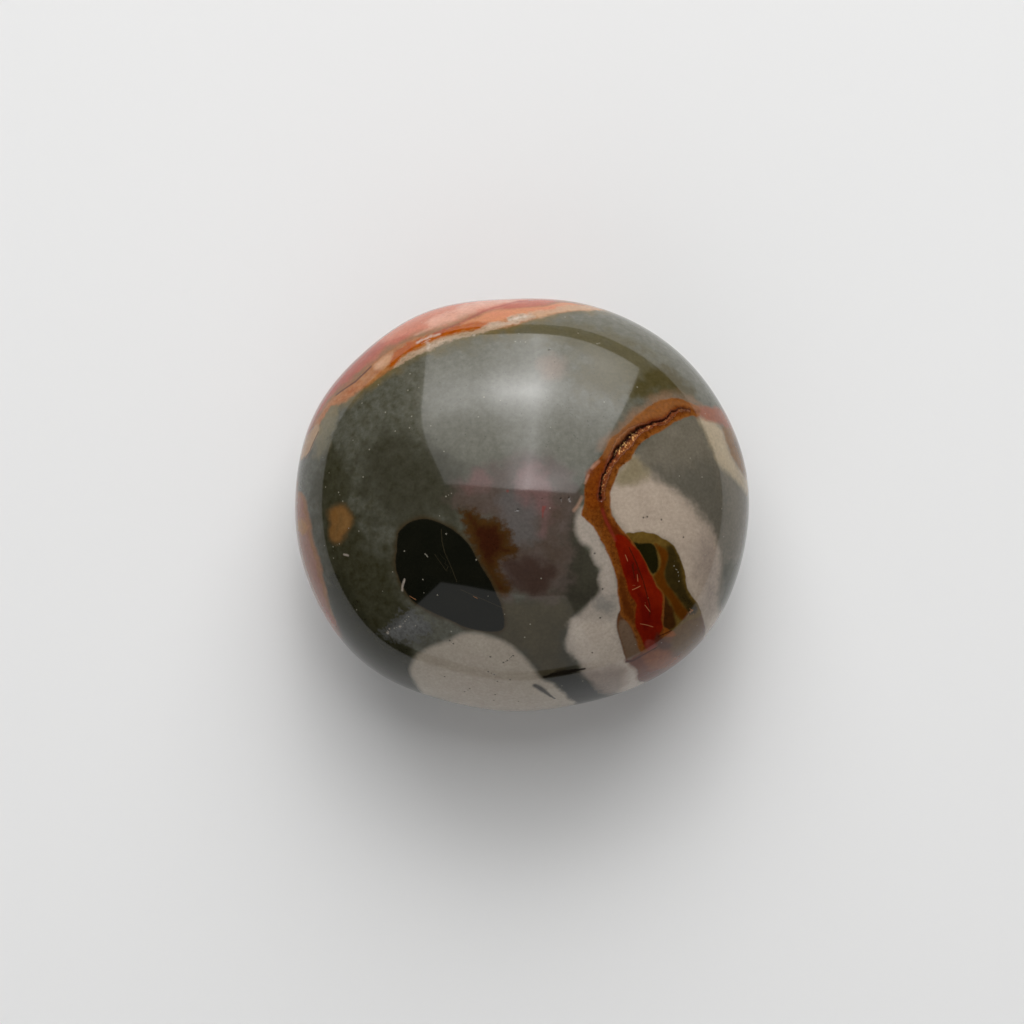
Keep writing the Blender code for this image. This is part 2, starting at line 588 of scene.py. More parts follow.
zone("pale_crown", (
    (-16, 26), (-8, 28), (2, 30), (12, 36), (22, 42), (36, 36), (44, 22), (40, 14), (28, 14),
    (18, 12), (12, 6), (7, 3), (0, 5), (-8, 4), (-13, 8), (-15, 14),
))
paint("pale_crown", (86, 84, 72), (102, 101, 90), patches, soft=7.0, ragged=1.5)
zone("olive_crown", (
    (-14, 24), (-6, 27.6), (2, 28.6), (9, 28), (16, 26), (21, 23), (25, 19), (26.4, 16.4),
    (22, 16.6), (17, 16), (12, 15), (8, 17), (9, 21), (4, 24), (-4, 24.6), (-10, 23),
))
paint("olive_crown", (80, 73, 48), (92, 86, 64), drifts, soft=5.0, ragged=1.2, strength=0.8)
zone("dark_moss", (
    (-31, 8), (-27, 6), (-25, 0), (-23, -5), (-18.5, -8), (-17.5, -12), (-16, -16), (-15, -19),
    (-17, -24), (-20, -34), (-28, -34), (-33, -26), (-33, -12), (-33, 2),
))
paint("dark_moss", (42, 39, 20), (62, 61, 46), patches, soft=5.0, ragged=1.5, strength=0.9)
zone("black_moss", (
    (-30.5, -11), (-27.5, -14), (-24.5, -18.5), (-21, -21.5), (-17.4, -23.8), (-18, -27),
    (-19.6, -31), (-22, -38), (-29, -36), (-33, -27), (-32, -18),
))
paint("black_moss", (30, 30, 18), (46, 45, 30), patches, soft=3.5, ragged=1.0, strength=0.85)
zone("quartz_bloom", (
    (-21.4, -20.6), (-20.4, -19.2), (-19, -18), (-17.3, -16.6), (-15.8, -16.2), (-14.4, -17.2),
    (-13.4, -18.8), (-14.6, -20), (-17, -20.6), (-19, -21),
))
paint(
    "quartz_bloom", (104, 104, 104), (56, 56, 50), crumbs,
    soft=1.6, ragged=0.8, strength=0.75, torn=crumbs,
)
zone("olive_corner", (
    (16.4, 15.4), (19, 20), (23, 21.4), (27, 18.4), (28, 16), (24, 16.6), (20, 15.8),
))
paint("olive_corner", (64, 56, 24), (76, 68, 42), patches, soft=3.0, ragged=0.8, strength=0.85)
zone("olive_hollow", (
    (-23, 7), (-18, 9), (-12, 7), (-8, 4), (-6.6, 1), (-8.6, -3), (-13, -2.4), (-18, -3), (-22, 0),
))
paint("olive_hollow", (46, 44, 31), (64, 62, 50), patches, soft=5.0, ragged=1.2, strength=0.8)
zone("pale_lichen", (
    (-29.8, 16.4), (-31.6, 16.6), (-33, 15.5), (-34, 13), (-34.5, 10), (-33, 7), (-31, 9),
    (-29.8, 12.5),
))
paint("pale_lichen", (112, 104, 82), (96, 91, 72), drifts, soft=2.0, ragged=0.5)
zone("pink_haze", (
    (2.6, 19.9), (3.8, 21), (5.3, 20.7), (6, 19), (4.9, 17.6), (3.2, 17.6),
))
paint("pink_haze", (120, 104, 90), (114, 102, 90), drifts, soft=2.4, ragged=0.4, strength=0.8)


# Across the upper left rim lies a broad band of salmon pink, which carries on below the
# rim. A paler pink lies on it in one long streak, with a thin red line along its edge.
zone("salmon_band", (
    (-39.5, 12), (-37.6, 12.4), (-35.6, 13), (-34.2, 14.8), (-32.7, 16.8), (-31, 17.6),
    (-29, 18.2), (-27.1, 18.9), (-25.6, 20), (-24.4, 21.4), (-22.8, 22), (-21, 23.2),
    (-18.5, 24.4), (-16, 25.2), (-13.2, 25.6), (-9.8, 26.8), (-5.1, 28), (-2.2, 29), (1.7, 30),
    (4.8, 31.4), (7.5, 33.2), (10, 34.8), (13, 36.4), (16, 39), (14, 43), (5, 44.6), (-8, 45),
    (-18, 43), (-29, 36), (-37, 27), (-42, 20), (-44, 14), (-42, 11.6),
))
paint("salmon_band", (160, 76, 54), (168, 90, 68), drifts, soft=0.5)
zone("red_flank", (
    (-39, 13), (-36, 14.2), (-33.6, 17), (-31, 18.4), (-28.6, 19.6), (-26.8, 21.6), (-24.4, 24.5),
    (-25.5, 27.5), (-32, 28), (-40, 22), (-44, 15),
))
paint("red_flank", (144, 58, 40), (152, 72, 52), drifts, soft=3.0, ragged=0.6)
zone("pale_pink", (
    (-21, 27.8), (-18, 27.2), (-15.5, 26.9), (-13.2, 27), (-10.8, 28), (-9, 29.4), (-6.4, 31.6),
    (-3.6, 33.4), (-1.4, 35.1), (1.5, 36.3), (5, 37.4), (8, 39), (8, 43), (-4, 44), (-16, 41.5),
    (-24, 36), (-27, 31),
))
paint("pale_pink", (184, 112, 88), (174, 102, 78), drifts, soft=2.0, ragged=0.5)
zone("pink_core", (
    (-15, 28.2), (-12, 28.4), (-9.5, 30), (-6.5, 32.4), (-3.2, 34.6), (-1, 36), (-3, 37.5),
    (-8, 36), (-12, 33), (-15.5, 30.5),
))
paint("pink_core", (200, 150, 130), (188, 134, 112), drifts, soft=1.8, ragged=0.4)


# A thin crust of orange, tan and cream grains parts the pink from the green. It is open
# and grainy, and it frays into the green on its lower side.
zone("rust_crust", (
    (-36, 13.4), (-34, 15.6), (-32.6, 17.4), (-31, 18.2), (-29, 18.9), (-27.1, 19.6),
    (-25.8, 20.8), (-24.6, 22.1), (-23.3, 22.9), (-21.5, 24.3), (-18.5, 25.5), (-16, 26.2),
    (-13.4, 26.5), (-9.8, 28.1), (-8, 29.2), (-5.2, 29.6), (-2.4, 30.2), (1.5, 31.1), (4.5, 32.8),
    (7, 34.5), (9.5, 36), (12, 37.6), (14, 40), (17, 41), (18.5, 38.5), (15, 35.5), (12, 33.5),
    (9.9, 32.5), (8, 31.7), (6, 30.8), (3.9, 29.8), (1.8, 28.9), (-0.1, 27.8), (-2.6, 26.8),
    (-5.5, 26.3), (-8.5, 25.8), (-10.9, 25.1), (-12.6, 24.3), (-14.6, 23.3), (-17.1, 22.1),
    (-19.2, 21), (-21.2, 19.7), (-22.8, 18.8), (-24.6, 17.8), (-26.7, 16.8), (-28.3, 16),
    (-30, 15.9), (-31.6, 16.2), (-33.4, 14.2), (-34.6, 13),
))
paint(
    "rust_crust", (112, 92, 50), (94, 84, 54), drifts,
    soft=2.4, ragged=0.5, inset=-0.9, strength=0.6,
)
paint("rust_crust", (140, 78, 30), (160, 112, 70), patches, soft=0.9, ragged=0.12, torn=crumbs)
zone("amber_end", (
    (-35.4, 13), (-34, 14.6), (-32, 16.6), (-30, 17.6), (-28, 18.6), (-26.6, 19.6), (-25.4, 19.4),
    (-26, 17.8), (-28, 16.7), (-30, 16.3), (-32, 16.2), (-33.8, 14),
))
paint("amber_end", (142, 74, 22), (160, 104, 60), crumbs, soft=0.7, ragged=0.3, torn=crumbs)
zone("deep_orange", (
    (-20.6, 22.9), (-19.8, 24), (-18.2, 25.1), (-16.4, 25.6), (-13.3, 26.4), (-10, 27.6),
    (-7.8, 28.4), (-5.2, 28.2), (-5, 27.2), (-6.4, 26.6), (-9, 26.3), (-11.5, 25.6), (-13.4, 25),
    (-14.8, 24.3), (-16.8, 23.5), (-18.8, 22.4), (-19.6, 21), (-20.6, 21.4),
))
paint("deep_orange", (146, 64, 4), (158, 82, 14), patches, soft=0.5, ragged=0.3, torn=crumbs)
zone("light_orange", (
    (-9.3, 28.3), (-7.7, 29.3), (-5.3, 30.6), (-2.5, 31.6), (1.5, 32.2), (5, 33.6), (8, 35.2),
    (9.5, 34.4), (6, 32.2), (3, 30.8), (0.4, 30.2), (-2.2, 29), (-4.4, 28.2), (-7, 28.3),
))
paint("light_orange", (182, 118, 74), (184, 112, 78), drifts, soft=1.0, ragged=0.3)
zone("tan_streak", (
    (1.2, 30.6), (4, 31.2), (7, 33.2), (10, 34.8), (13, 36.4), (16, 39.5), (18, 39), (14.8, 35.2),
    (11, 33), (8, 31.6), (5, 30.4), (2.6, 29.4),
))
paint("tan_streak", (178, 140, 106), (168, 132, 104), drifts, soft=1.2, ragged=0.3)
zone("cream_grains", (
    (-5.6, 27.4), (-4.4, 28), (-2.4, 28), (-2, 29.4), (-1, 29.8), (0.2, 30.4), (1.2, 30.2),
    (2, 29.6), (1, 28.7), (-0.6, 27.9), (-2.4, 27), (-4, 26.4), (-5.6, 25.9), (-8, 25.2),
    (-11, 24.4), (-13.2, 23.4), (-15, 22.6), (-17.4, 21.8), (-19.4, 20.6), (-18.6, 21.9),
    (-16.6, 23.1), (-14.4, 24), (-13.4, 24.7), (-10.4, 25.5), (-7, 26.1),
))
paint(
    "cream_grains", (188, 166, 146), (138, 114, 88), crumbs,
    soft=0.9, ragged=0.22, torn=crumbs, strength=0.85,
)
zone("cream_knob", (
    (-23.8, 22.2), (-22.9, 23.2), (-21.9, 23.8), (-20.8, 23.7), (-20.2, 22.9), (-20.5, 21.8),
    (-21.5, 20.9), (-22.8, 20.7), (-23.6, 21.2),
))
paint("cream_knob", (184, 140, 108), (170, 124, 86), drifts, soft=1.0, ragged=0.25, inset=0.25)


# Two flushes of colour climb over the left rim: a tan tail under the salmon band, and a
# long pink one with an orange border that carries on far below.
zone("tan_tail", (
    (-36, 13.2), (-34.6, 13.4), (-33.9, 12.4), (-34.4, 10.8), (-35.4, 9.2), (-36.6, 8.3),
    (-38, 8.3), (-40, 8), (-43, 7), (-47, 6), (-51, 7), (-50, 12), (-46, 12.8), (-42, 11.6),
    (-39.5, 12.2), (-37.6, 12.8),
))
paint("tan_tail", (160, 128, 94), (146, 114, 82), drifts, soft=0.7, ragged=0.2)
zone("left_flush", (
    (-38.4, 1.9), (-36.9, 1.3), (-35.8, 0.2), (-35.3, -1.7), (-34.7, -3.8), (-34, -6.1),
    (-33.2, -7.7), (-32.8, -10), (-32.6, -13), (-32.4, -16), (-32.3, -19), (-32.8, -21.6),
    (-34.4, -24.4), (-37, -27.5), (-42, -28), (-48, -21), (-51, -10), (-49, 0), (-43, 3),
))
paint("left_flush", (124, 79, 42), (130, 90, 56), drifts, soft=0.9, ragged=0.2)
paint("left_flush", (130, 80, 62), (132, 93, 77), drifts, soft=1.4, ragged=0.4, inset=1.1)
zone("flush_amber", (
    (-39.6, -3), (-38, -2.4), (-36.6, -3), (-36, -4.4), (-37, -5.4), (-39, -5), (-40.6, -4.2),
))
paint("flush_amber", (148, 104, 48), (142, 94, 50), drifts, soft=1.2, ragged=0.3)
zone("flush_red", (
    (-38, -17), (-34.6, -18.6), (-32.9, -20.6), (-33.6, -23), (-36, -25.5), (-41, -26), (-44, -20),
))
paint("flush_red", (132, 60, 36), (128, 68, 48), drifts, soft=2.4, ragged=0.5)
zone("tan_drop", (
    (-29.5, -1.2), (-28.4, -0.7), (-27, -0.6), (-25.9, -0.9), (-25.2, -1.9), (-24.9, -2.8),
    (-25.4, -3.8), (-26.2, -4.8), (-27, -5.7), (-27.8, -6.4), (-28.7, -6.3), (-29.5, -5.6),
    (-29.8, -4.4), (-29.4, -3.4), (-29.9, -2.4),
))
paint("tan_drop", (74, 60, 38), (82, 66, 42), patches, soft=0.8, ragged=0.2, inset=-0.3)
paint("tan_drop", (112, 78, 40), (122, 90, 52), drifts, soft=0.9, ragged=0.2, inset=0.2)
paint("tan_drop", (98, 74, 42), (112, 82, 46), patches, soft=1.2, ragged=0.5, inset=1.3)


# The middle of the crown is a cloud of mauve and rose over the green, with a fray of rust
# at its left and a slate shade down its right side.
zone("slate_shade", (
    (7.6, 2), (7.4, -2), (7.3, -4.4), (8.4, -6.2), (9.7, -7.9), (10.6, -9.5), (10.8, -11.2),
    (11, -12.8), (9.6, -14.6), (8.1, -16.2), (7.1, -17.6), (6.6, -19.4), (6.3, -21), (6.8, -22.6),
    (8.2, -24.2), (9.4, -26.8), (8, -28.4), (5.2, -28.6), (2.9, -28), (1.5, -25), (0.2, -22.6),
    (-1.4, -21), (-3.6, -19.6), (-2.6, -15), (0, -13.5), (4, -12), (4.6, -8), (5, -3), (6, 1),
))
paint("slate_shade", (53, 50, 41), (64, 61, 50), drifts, soft=2.0, ragged=0.5)
zone("olive_shade", (
    (-3.4, -17), (-2.6, -14.4), (1, -13.8), (5, -13.4), (7, -16), (6, -19), (5.6, -23),
    (6.4, -26.6), (3.4, -27.4), (1.8, -24.6), (-0.6, -21.4), (-3, -20),
))
paint("olive_shade", (74, 67, 50), (64, 58, 43), drifts, soft=2.4, ragged=0.6)
zone("mauve_cloud", (
    (-9, 1.5), (-5, 3.6), (-1, 5.6), (3, 5.8), (6, 3.6), (7.4, 0.6), (7, -2.4), (6.2, -5),
    (6.6, -8.6), (6, -12), (3.6, -13.6), (0, -13.4), (-3.2, -12.6), (-4.4, -10.5), (-3.4, -7),
    (-3, -4), (-6.4, -1.8), (-8.2, -1.2),
))
paint("mauve_cloud", (88, 77, 71), (76, 64, 55), drifts, soft=3.2, ragged=0.8)
zone("blue_cloud", (
    (-2.4, 1), (0, 1), (2.4, -1), (2.2, -4), (1, -6), (-1.4, -5), (-2.6, -2),
))
paint("blue_cloud", (92, 88, 86), (86, 82, 78), drifts, soft=3.0, ragged=0.6, strength=0.7)
zone("rose_flush", (
    (-0.7, 2.6), (0.2, 3.9), (1.5, 4.4), (3.1, 3.7), (4, 1.8), (4.2, -0.6), (3.8, -3), (2.9, -4.4),
    (2.4, -2), (1.6, 0.6), (0.7, -0.4), (-0.4, 1),
))
paint("rose_flush", (116, 84, 82), (106, 79, 75), drifts, soft=2.0, ragged=0.5, strength=0.6)
zone("rose_wisp", (
    (-7.6, 2.6), (-6.3, 3.5), (-4.9, 3.5), (-3.7, 2.4), (-4.8, 1.2), (-6.8, 1.1),
))
paint("rose_wisp", (112, 82, 78), (104, 80, 76), drifts, soft=1.6, ragged=0.4, strength=0.55)
zone("brick_flush", (
    (-2, -8.6), (0.8, -7.8), (3, -8.4), (4.2, -10), (3.8, -12), (2, -12.8), (0, -12.6),
    (-2.4, -11),
))
paint("brick_flush", (58, 41, 34), (64, 49, 42), drifts, soft=2.6, ragged=0.6, strength=0.85)
zone("rust_fray", (
    (-7.6, -1.6), (-6.8, -1.8), (-6, -2.4), (-5.4, -3.1), (-4.6, -3.3), (-3.6, -3.1), (-2.8, -3.6),
    (-2.6, -4.3), (-1.8, -4.7), (-1.9, -5.5), (-2.2, -6.2), (-1.4, -6.6), (-0.8, -6.9),
    (-1.8, -7.4), (-2.6, -7.4), (-3.2, -8), (-3.4, -9), (-3.5, -10.2), (-3, -11), (-2.2, -11.9),
    (-2, -12.6), (-3, -12.8), (-3.7, -12), (-4.3, -10.6), (-5, -9), (-5.7, -7.4), (-6.4, -5.4),
    (-7.1, -3.4),
))
paint(
    "rust_fray", (60, 38, 13), (70, 46, 19), crumbs,
    soft=1.3, ragged=0.3, torn=crumbs, inset=-0.5,
)
paint(
    "rust_fray", (56, 25, 11), (50, 23, 10), drifts,
    soft=1.2, ragged=0.3, inset=0.6, torn=crumbs,
)


# The black pool is the darkest jasper, sharply edged by a hair of brown.
zone("black_pool", (
    (-16.2, -3.7), (-15.3, -3.1), (-14.2, -2.8), (-12.9, -2.7), (-11.7, -2.95), (-10.7, -3.35),
    (-9.6, -4), (-8.5, -4.7), (-7.6, -5.5), (-6.9, -6.4), (-6.3, -7.5), (-5.8, -8.5), (-5.2, -9.6),
    (-4.5, -10.8), (-3.9, -12), (-3, -14.2), (-2.6, -15.8), (-2.4, -17), (-2.6, -18.3),
    (-3.6, -18.8), (-5.9, -18.7), (-7.4, -18.4), (-9.5, -17.5), (-11, -16.8), (-13, -15.9),
    (-15.1, -14.8), (-16.2, -13.7), (-17, -12.2), (-17.5, -11), (-17.8, -9.9), (-17.8, -8.5),
    (-17.5, -7), (-17.3, -4.9),
))
paint("black_pool", (60, 48, 28), (52, 42, 26), drifts, soft=1.0, inset=-0.3, strength=0.85)
paint("black_pool", (15, 16, 10), (20, 20, 13), drifts, soft=0.28, ragged=0.05)


# A cream bay covers the lower rim and a cream shore follows the vein, with dark water
# between them. Both are dusted with pink and grey and dotted with pinholes.
zone("cream_bay", (
    (-16.2, -23.9), (-15, -23), (-13.5, -22), (-12, -21.2), (-10.5, -20.5), (-8.9, -19.6),
    (-7.4, -19.2), (-6, -19.3), (-4.5, -19.8), (-3.1, -20.3), (-2, -21), (-1, -21.9), (0, -23),
    (0.9, -24.3), (1.7, -25.5), (2.3, -26.8), (3.2, -28), (4.8, -28.6), (6.6, -29.6), (8.4, -31.6),
    (9.8, -34), (10.8, -36.6), (12.2, -40), (12.6, -46), (5, -50), (-6, -52), (-16, -48),
    (-21, -42), (-19.4, -37), (-18.4, -34), (-18.2, -31), (-18.3, -28.5), (-17.7, -26.4),
))
paint("cream_bay", (165, 155, 140), (156, 145, 131), drifts, soft=1.3, ragged=0.05)
paint(
    "cream_bay", (170, 160, 146), (158, 144, 132), patches,
    soft=6.0, ragged=0.8, inset=4.0, strength=0.6,
)
zone("cream_shore", (
    (8.2, -1), (7.5, -2.2), (7.3, -3.6), (7.7, -5.1), (8.4, -5.9), (9.4, -6.7), (9.8, -7.7),
    (10.2, -8.7), (10.8, -9.6), (10.8, -11.1), (11.1, -12.5), (10.6, -13.6), (9.8, -14.5),
    (8.9, -15.3), (8.1, -16.1), (7.3, -17), (6.9, -18.6), (6.5, -19.8), (6.3, -20.8), (6.7, -22),
    (7.8, -23), (8.7, -24.4), (9.4, -26.4), (11.2, -28.4), (13.4, -30.8), (16, -33.4), (19, -36.6),
    (22.5, -42), (30, -42), (27, -37), (24.4, -33.9), (22.2, -32.4), (20.8, -31.6), (20, -30.4),
    (19.4, -28.7), (18.5, -27), (17.3, -25.9), (16.4, -24.9), (15.4, -22.7), (14.6, -20.8),
    (13.9, -19), (13.8, -17.4), (14.2, -16), (13.8, -14), (13.2, -11), (12.4, -8.4), (11, -5.8),
    (9.8, -3.4), (8.8, -1.6),
))
paint("cream_shore", (165, 153, 141), (155, 145, 133), drifts, soft=1.2, ragged=0.15)
zone("shore_light", (
    (7.6, -17.6), (7.2, -20.4), (8.8, -24), (12, -28.4), (17, -33), (21, -38), (25, -38),
    (20.4, -31), (17.4, -26.4), (14.6, -22), (13.6, -18.4), (10.6, -17),
))
paint("shore_light", (188, 176, 162), (176, 162, 148), drifts, soft=2.6, ragged=0.4, strength=0.8)
zone("shore_mist", (
    (11.2, -13.6), (12.6, -14), (13, -15.4), (12.2, -16.6), (11.2, -15.6), (10.6, -14.4),
))
paint("shore_mist", (112, 110, 104), (124, 120, 112), drifts, soft=1.8, ragged=0.6, strength=0.6)
zone("shore_dusk", (
    (9.8, -26.6), (12.1, -26.3), (14.1, -26.1), (15.8, -26.6), (17, -28.3), (17.4, -30.6),
    (17.6, -33.7), (17.2, -36), (14.2, -37), (11.7, -33), (10.4, -29.6),
))
paint("shore_dusk", (119, 103, 92), (129, 113, 101), drifts, soft=2.6, ragged=0.3, strength=0.75)
zone("black_water", (
    (3.3, -27.3), (4.6, -27.1), (6.4, -26.8), (8.2, -26.9), (9.4, -27.8), (10.6, -29), (12, -31),
    (13.8, -33), (16.4, -35.6), (19, -38.4), (18, -43), (13, -42), (10.2, -37.2), (8.4, -34.2),
    (7.3, -32.6), (6.3, -31.1), (5.5, -30), (4.9, -29), (4, -28.2),
))
paint("black_water", (34, 33, 24), (48, 47, 36), drifts, soft=1.3, ragged=0.3)
paint(
    "black_water", (14, 14, 9), (28, 28, 19), drifts,
    soft=0.8, ragged=0.2, inset=0.5, strength=0.8,
)



# Right of the vein a grey-olive bay runs over the rim, closed in by a cream arch below
# and a beige wedge above, with an orange patch and a brown flank behind the wedge.
zone("olive_bay", (
    (15.2, 5), (16.3, 6.9), (18.3, 9), (21, 10.8), (23, 12), (25, 13), (27.8, 13.5), (33, 12.6),
    (40, 8.5), (46, 6), (51, 0), (52, -10), (46, -18), (41, -18), (37, -18.4), (33.6, -18),
    (31, -13), (29, -8), (26, -4), (22, 0), (18, 2.6),
))
paint("olive_bay", (97, 91, 78), (108, 101, 88), drifts, soft=1.2, ragged=0.2)
zone("bay_deep", (
    (18, 4), (24, 5), (28, 6), (30, 5.5), (31.4, 2), (32.2, -1), (31.8, -4.6), (30, -6),
    (27.8, -4.6), (25, -2), (22, 0.6), (19, 2.4),
))
paint("bay_deep", (86, 82, 72), (94, 89, 78), drifts, soft=3.6, ragged=0.8, strength=0.9)
zone("cream_arch", (
    (12.4, 2), (12, 0.7), (12, -0.6), (12.3, -1.8), (12.8, -2.8), (13.6, -4), (14.8, -5.2),
    (17, -5.4), (19.6, -6), (21.6, -7), (22.8, -9), (23.6, -11), (24.4, -13), (26, -15.4),
    (28, -17.6), (30, -19.8), (31.6, -22), (33, -24.4), (35.5, -28.5), (40, -33), (47, -25),
    (49, -20), (43, -19), (38.5, -19.4), (35, -19), (33, -17), (32, -14), (31.4, -10.6),
    (30.6, -7.4), (28.6, -4.6), (26.2, -2.4), (24, -0.4), (21.6, 1.4), (19, 2.8), (16.8, 3.4),
    (15.8, 4.4), (15.4, 5.8), (14.4, 5.4), (13.4, 4),
))
paint("cream_arch", (174, 158, 141), (165, 149, 133), drifts, soft=2.6, ragged=0.4)
zone("arch_beige", (
    (13, 2.6), (14, 4.6), (15.4, 6), (17, 5), (17.6, 3.4), (16, 2.6), (14.4, 2.2),
))
paint("arch_beige", (134, 122, 96), (124, 112, 88), drifts, soft=1.8, ragged=0.3)
zone("arch_shade", (
    (27, -5), (29.4, -7), (30.6, -10), (31, -14), (32.4, -18.4), (30, -18), (28.4, -14),
    (27.4, -11), (26.4, -8),
))
paint("arch_shade", (144, 130, 118), (136, 122, 111), drifts, soft=3.6, ragged=0.7, strength=0.8)
zone("dark_drift", (
    (33.6, -10.6), (36, -10), (38.6, -10.6), (42, -12), (45, -15), (41, -18.4), (37.6, -18.6),
    (35, -17.6), (33.6, -14.6),
))
paint("dark_drift", (62, 62, 48), (78, 76, 60), drifts, soft=2.8, ragged=0.7, strength=0.9)
zone("beige_wedge", (
    (27.8, 13.2), (29.6, 13.3), (31.6, 12.9), (33.2, 12.1), (33.6, 10.5), (34.1, 8.7), (35.2, 7.1),
    (36.8, 5.9), (38.6, 5.1), (41, 4.5), (45, 4), (50, 2.4), (48, -0.4), (42, 1.6), (38, 3),
    (35, 4.1), (32.6, 5), (31.2, 6), (30.2, 7.4), (29.4, 9.2), (28.8, 11.2),
))
paint("beige_wedge", (166, 150, 123), (154, 138, 113), drifts, soft=1.8, ragged=0.25)
zone("brown_flank", (
    (33.3, 12.8), (33.7, 10.5), (34.3, 8.9), (35.4, 7.4), (37, 6.3), (39, 5.5), (42, 5), (47, 5.4),
    (51, 9), (48, 16), (42, 17.4), (38, 15.4), (35.6, 13.8),
))
paint("brown_flank", (122, 88, 50), (108, 76, 40), drifts, soft=0.9, ragged=0.25)
paint(
    "brown_flank", (66, 42, 18), (80, 54, 26), drifts,
    soft=3.0, ragged=0.6, inset=3.2, strength=0.9,
)
zone("salmon_patch", (
    (26.6, 13.6), (27.4, 15), (29.3, 15.4), (31, 15.9), (33, 16.6), (36, 17.2), (40, 18), (45, 19),
    (47, 16.5), (42, 14), (38, 13.4), (34.5, 13.2), (32, 13.3), (29.5, 13.3),
))
paint("salmon_patch", (136, 78, 50), (128, 78, 60), drifts, soft=1.0, ragged=0.25)


# The toe is a wedge of deep red and gold-brown between the shore and the arch, and it
# runs down over the lower right rim.
zone("toe", (
    (14.1, -16), (13.8, -17.4), (13.9, -19), (14.6, -20.8), (15.4, -22.7), (16.4, -24.9),
    (17.3, -25.9), (18.5, -27), (19.4, -28.7), (20, -30.4), (20.8, -31.6), (22.2, -32.4),
    (24.4, -33.9), (27, -37), (30, -42), (36, -41), (40, -35), (37, -30), (34.2, -26.4),
    (32.8, -23.4), (31.4, -21.2), (29.6, -19), (27.4, -16.6), (24, -17), (20, -19), (17, -18),
    (15.2, -16.4),
))
paint("toe", (96, 62, 38), (88, 54, 30), drifts, soft=0.35)
zone("toe_gold", (
    (22, -19.6), (24, -19.6), (26.6, -18), (28.6, -18.6), (30.4, -20.8), (31.8, -23.4), (32, -26),
    (29, -26.4), (26, -25), (24, -23), (24, -21),
))
paint("toe_gold", (98, 71, 36), (86, 60, 27), patches, soft=1.4, ragged=0.4)
zone("toe_red", (
    (16.4, -24.9), (17.3, -25.8), (18.5, -27), (19.4, -28.7), (20, -30.4), (20.8, -31.6),
    (22.2, -32.4), (24.4, -33.9), (27, -37), (30, -42), (34, -40), (33, -34), (30.6, -30),
    (28, -28), (25.4, -26.4), (23.4, -24.6), (21.4, -23.4), (19.4, -23.6), (17.8, -24.2),
))
paint("toe_red", (98, 52, 33), (88, 42, 24), drifts, soft=1.2, ragged=0.3)
zone("toe_orange", (
    (19.4, -24.6), (21.2, -23.8), (23.4, -24.8), (25.8, -26.4), (28.4, -28), (26.6, -29.6),
    (23, -28.6), (20.4, -26.8),
))
paint("toe_orange", (128, 74, 38), (112, 58, 28), patches, soft=1.8, ragged=0.4)
zone("toe_pocket", (
    (14.3, -17.6), (15.2, -17.6), (16.2, -19), (17.2, -21), (18, -22.5), (18.3, -23.8),
    (17.4, -24.2), (16.6, -24.8), (15.6, -22.8), (14.7, -20.8), (14.1, -19),
))
paint("toe_pocket", (112, 91, 73), (103, 82, 64), drifts, soft=0.5)



# The olive eye is banded like an agate: a dark core, a gold band round it, and brown
# bands that run down into the toe.
zone("olive_eye", (
    (14.4, -4.7), (15.4, -4.6), (16.5, -4.4), (19, -4.8), (20, -5.4), (21, -5.8), (21.9, -6.5),
    (22.6, -7.5), (23.2, -8.6), (23.8, -9.8), (24.3, -11.1), (24.7, -12.4), (25.2, -13.5),
    (26.5, -14.9), (27.6, -16.2), (28.6, -17.5), (29, -18.4), (27.6, -18.8), (26, -19),
    (24.8, -19.6), (24, -20.2), (23, -20.6), (21.8, -20.4), (21, -19), (20.6, -16), (19.6, -13),
    (17.6, -9.4), (15.6, -6.4),
))
paint("olive_eye", (102, 79, 33), (87, 65, 24), patches, soft=0.25)
zone("brown_band", (
    (21.2, -6.6), (22.2, -7.6), (23, -9.2), (23.5, -10.8), (24.1, -12.7), (25, -14.2),
    (26.4, -15.8), (27.6, -17.3), (26.2, -17.3), (24.8, -15.8), (23.3, -14.2), (21.9, -12.7),
    (21, -11.3), (20.9, -9.8), (21.2, -8.4),
))
paint("brown_band", (54, 43, 16), (44, 34, 12), patches, soft=0.9, ragged=0.1, inset=-0.2)
zone("gold_band", (
    (18.9, -6.2), (20, -6.8), (20.8, -7.6), (20.9, -8.7), (20.6, -9.8), (20.4, -10.8), (20.9, -12),
    (21.9, -13.2), (23.2, -14.6), (24.6, -16), (25.8, -17.4), (25.2, -18.5), (23.8, -17.6),
    (22.5, -15.8), (21.3, -14.2), (20.2, -12.9), (19.2, -11.7), (19, -10.9), (19.8, -10), (20, -9),
    (19.8, -7.9), (19.3, -7.1),
))
paint("gold_band", (94, 50, 4), (80, 40, 3), drifts, soft=0.6)
zone("eye_core", (
    (15.3, -6), (16.6, -6.1), (18.1, -6.2), (18.9, -6.8), (19.4, -7.9), (19.55, -9),
    (19.35, -10.1), (18.7, -10.6), (18, -9.7), (17.4, -8.7), (16.6, -7.5), (15.6, -6.6),
))
paint("eye_core", (22, 20, 4), (29, 26, 7), drifts, soft=0.4)
zone("umber_band", (
    (21.1, -14.4), (21.8, -14.9), (22.7, -16.3), (23.5, -17.9), (24, -19.2), (23.3, -20),
    (22.2, -20.2), (21.4, -19), (21, -17),
))
paint("umber_band", (54, 28, 8), (64, 36, 10), patches, soft=0.7, ragged=0.15)


